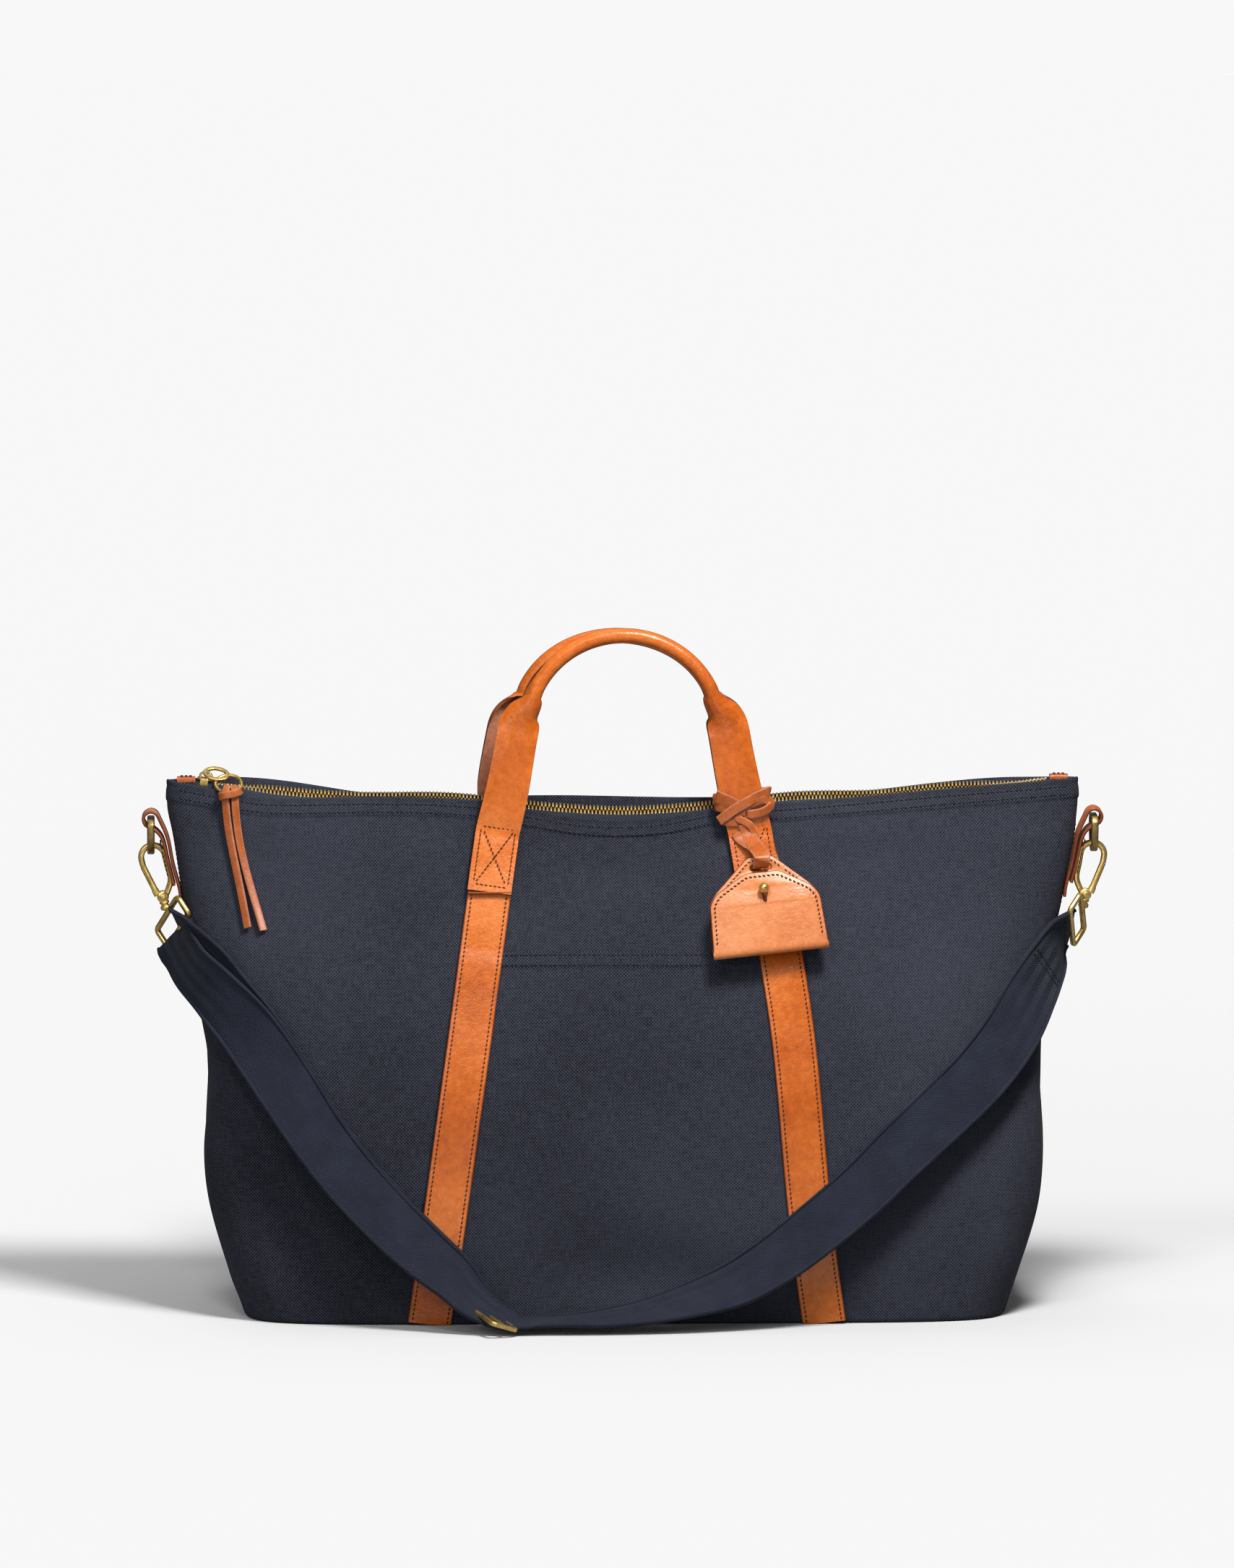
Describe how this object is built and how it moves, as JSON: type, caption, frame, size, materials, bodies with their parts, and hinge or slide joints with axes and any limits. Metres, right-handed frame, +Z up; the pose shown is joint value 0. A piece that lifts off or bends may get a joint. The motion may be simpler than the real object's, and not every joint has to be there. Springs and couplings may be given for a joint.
{
  "type": "weekender bag",
  "caption": "Canvas weekender bag with boxed base, tapered top, rolled leather handles, brass zip, luggage tag and clip-on webbing shoulder strap.",
  "frame": {"origin": "centre of the base on the surface it stands on", "axes": "+X along the zip to the right as seen from the front, -Y the front face, +Z up"},
  "size_m": [0.6222, 0.2562, 0.4405],
  "materials": {
    "canvas": "plain-weave navy canvas",
    "lining": "cotton lining",
    "board": "stiff base board",
    "leather": "vegetable-tanned leather, semi-gloss",
    "brass": "antique brass, polished",
    "webbing": "twill navy webbing",
    "zip_tape": "woven zip tape"
  },
  "bodies": {
    "bag": {"front_panel": "canvas", "back_panel": "canvas", "base_panel": "canvas", "base_board": "board", "lining": "lining", "inner_pocket": "lining", "front_strap_left": "leather", "front_strap_right": "leather", "back_strap_left": "leather", "back_strap_right": "leather", "front_handle_root_left": "leather", "front_handle_root_right": "leather", "back_handle_root_left": "leather", "back_handle_root_right": "leather", "slip_pocket": "canvas", "zip_teeth_front": "brass", "zip_teeth_back": "brass", "zip_tape_front": "zip_tape", "zip_tape_back": "zip_tape", "zip_end_tab_left": "leather", "zip_end_tab_right": "leather", "side_tab_left": "leather", "side_tab_right": "leather"},
    "front_handle": {"front_handle": "leather", "tag_tie": "leather"},
    "back_handle": {"back_handle": "leather"},
    "tag": {"tag_loop": "leather", "tag_back": "leather", "tag_stud": "brass"},
    "tag_cover": {"tag_cover": "leather"},
    "zip_slider": {"zip_slider": "brass"},
    "zip_pull": {"zip_pull": "brass", "pull_ring": "brass"},
    "tassel": {"tassel": "leather"},
    "dring_left": {"dring_left": "brass"},
    "dring_right": {"dring_right": "brass"},
    "shoulder_strap": {"strap_webbing_left": "webbing", "strap_webbing_right": "webbing", "strap_return": "webbing", "strap_adjuster": "brass", "strap_ring_left": "brass", "strap_ring_right": "brass"},
    "hook_left": {"hook_left": "brass"},
    "gate_left": {"gate_left": "brass"},
    "hook_right": {"hook_right": "brass"},
    "gate_right": {"gate_right": "brass"}
  },
  "joints": [
    {"name": "front_handle_fold", "type": "hinge", "parent": "bag", "child": "front_handle", "pos_m": [0, -0.0236, 0.311], "axis": [1, 0, 0], "range_deg": [0, 95]},
    {"name": "back_handle_fold", "type": "hinge", "parent": "bag", "child": "back_handle", "pos_m": [0, 0.0236, 0.311], "axis": [-1, 0, 0], "range_deg": [0, 120]},
    {"name": "tag_hang", "type": "hinge", "parent": "front_handle", "child": "tag", "pos_m": [0.08, -0.0343, 0.323], "axis": [1, 0, 0], "range_deg": [-105, 0]},
    {"name": "tag_cover_open", "type": "hinge", "parent": "tag", "child": "tag_cover", "pos_m": [0.0932, -0.065, 0.2324], "axis": [0.9939, 0.0387, 0.1028], "range_deg": [0, 150]},
    {"name": "zip_travel", "type": "hinge", "parent": "bag", "child": "zip_slider", "pos_m": [0, 0, 2.348], "axis": [0, -1, 0], "range_deg": [0, 14.2], "deforming": ["tassel"]},
    {"name": "pull_flip", "type": "hinge", "parent": "zip_slider", "child": "zip_pull", "pos_m": [-0.26761, 0, 0.34086], "axis": [0, -1, 0], "range_deg": [0, 140]},
    {"name": "tassel_hang", "type": "hinge", "parent": "zip_pull", "child": "tassel", "pos_m": [-0.253, -0.01323, 0.33173], "axis": [0, -1, 0], "range_deg": [-140, 0]},
    {"name": "dring_left_swing", "type": "hinge", "parent": "bag", "child": "dring_left", "pos_m": [-0.303, 0, 0.3129], "axis": [0, 1, 0], "range_deg": [-2.5, 2.5]},
    {"name": "dring_right_swing", "type": "hinge", "parent": "bag", "child": "dring_right", "pos_m": [0.303, 0, 0.3129], "axis": [0, 1, 0], "range_deg": [-2.5, 2.5]},
    {"name": "strap_swing", "type": "hinge", "parent": "bag", "child": "shoulder_strap", "pos_m": [0, 0, 0.296], "axis": [-1, 0, 0], "range_deg": [0, 65]},
    {"name": "hook_left_swivel", "type": "hinge", "parent": "shoulder_strap", "child": "hook_left", "pos_m": [-0.3035, 0, 0.296], "axis": [0.2377, 0, -0.9713], "range_deg": [-25, 25]},
    {"name": "gate_left_press", "type": "hinge", "parent": "hook_left", "child": "gate_left", "pos_m": [-0.2991, 0, 0.26372], "axis": [0, 1, 0], "range_deg": [0, 16], "stiffness_Nm_per_rad": 0.02, "springref_deg": -17.19},
    {"name": "hook_right_swivel", "type": "hinge", "parent": "shoulder_strap", "child": "hook_right", "pos_m": [0.3035, 0, 0.296], "axis": [-0.1692, 0, -0.9856], "range_deg": [-25, 25]},
    {"name": "gate_right_press", "type": "hinge", "parent": "hook_right", "child": "gate_right", "pos_m": [0.30137, 0, 0.26349], "axis": [0, -1, 0], "range_deg": [0, 16], "stiffness_Nm_per_rad": 0.02, "springref_deg": -17.19}
  ],
  "couplings": [
    {"joint": "tag_hang", "follows": "front_handle_fold", "ratio": -1.1},
    {"joint": "tassel_hang", "follows": "pull_flip", "ratio": -1}
  ]
}
